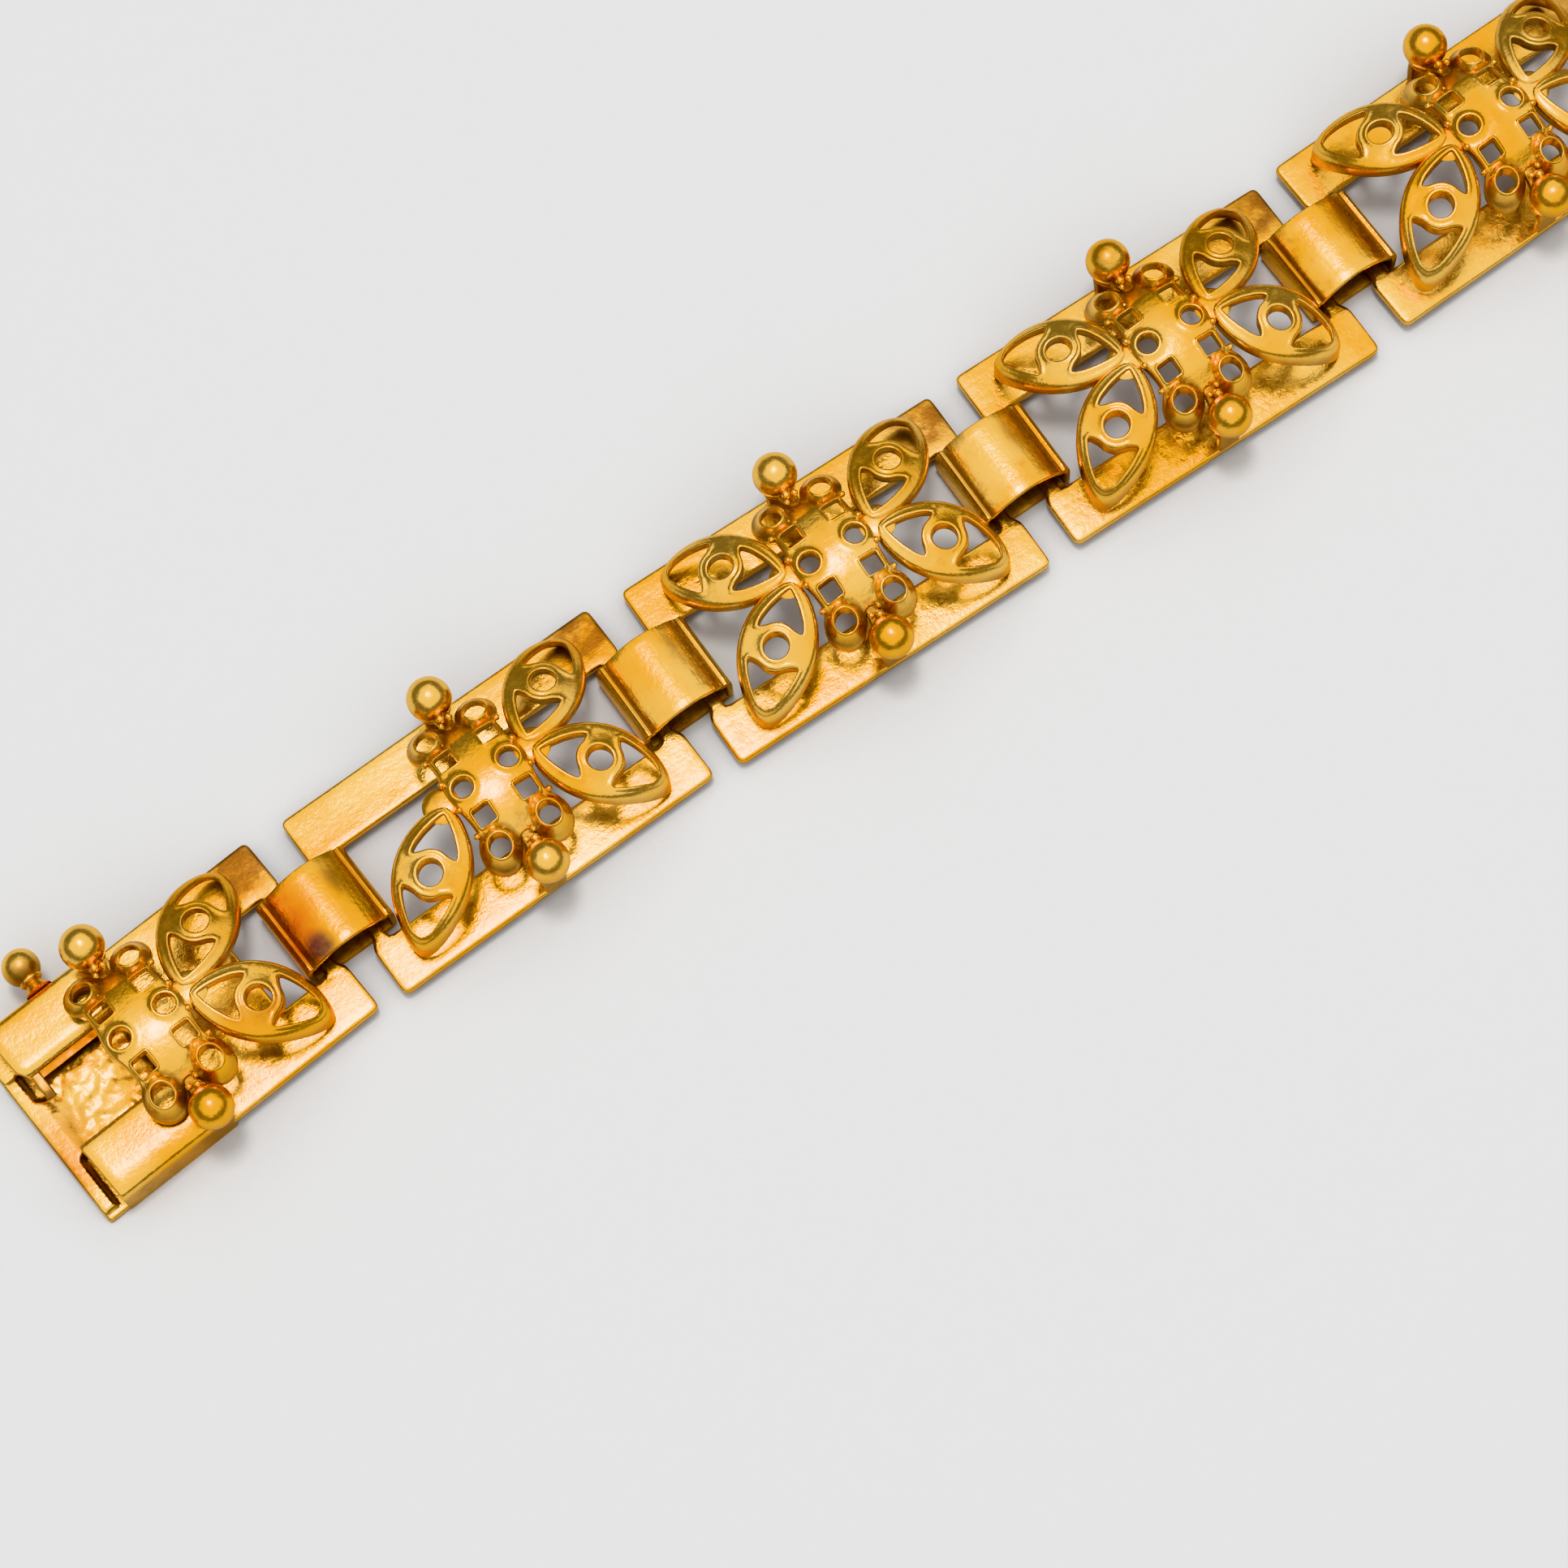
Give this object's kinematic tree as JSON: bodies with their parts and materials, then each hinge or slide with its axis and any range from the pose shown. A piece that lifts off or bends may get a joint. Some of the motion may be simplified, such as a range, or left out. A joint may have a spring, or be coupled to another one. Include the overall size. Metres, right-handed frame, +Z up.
{
  "type": "link bracelet",
  "caption": "Gilt link bracelet lying open and face up: pierced floral panels with beads, joined by flat arched bands, with a box clasp and its tongue.",
  "frame": {"origin": "bottom centre of the bracelet's box, on the surface that it lies on", "axes": "+X along the bracelet from the box clasp to the tongue, +Z up out of the face of the panels, +Y across"},
  "size_m": [0.1824, 0.0166, 0.0046],
  "materials": {
    "panel_gold": "gilt stamped brass, warm orange yellow, satin on the domes and brushed on the plates, brown tarnish in the recesses",
    "band_gold": "gilt brass strip, brushed across the bracelet, darker tarnish towards one edge and in the creases",
    "clasp_gold": "gilt brass sheet with rough yellow solder in the slot, rubbed edges and purple to orange heat stains"
  },
  "bodies": {
    "root": {"clasp_box": "clasp_gold", "panel_1": "panel_gold", "panel_2": "panel_gold", "panel_3": "panel_gold", "panel_4": "panel_gold", "panel_5": "panel_gold", "panel_6": "panel_gold", "panel_7": "panel_gold", "panel_8": "panel_gold", "panel_9": "panel_gold", "connector_1": "band_gold", "connector_2": "band_gold", "connector_3": "band_gold", "connector_4": "band_gold", "connector_5": "band_gold", "connector_6": "band_gold", "connector_7": "band_gold", "connector_8": "band_gold", "connector_9": "band_gold", "connector_10": "band_gold", "clasp_tongue": "clasp_gold"}
  },
  "joints": []
}
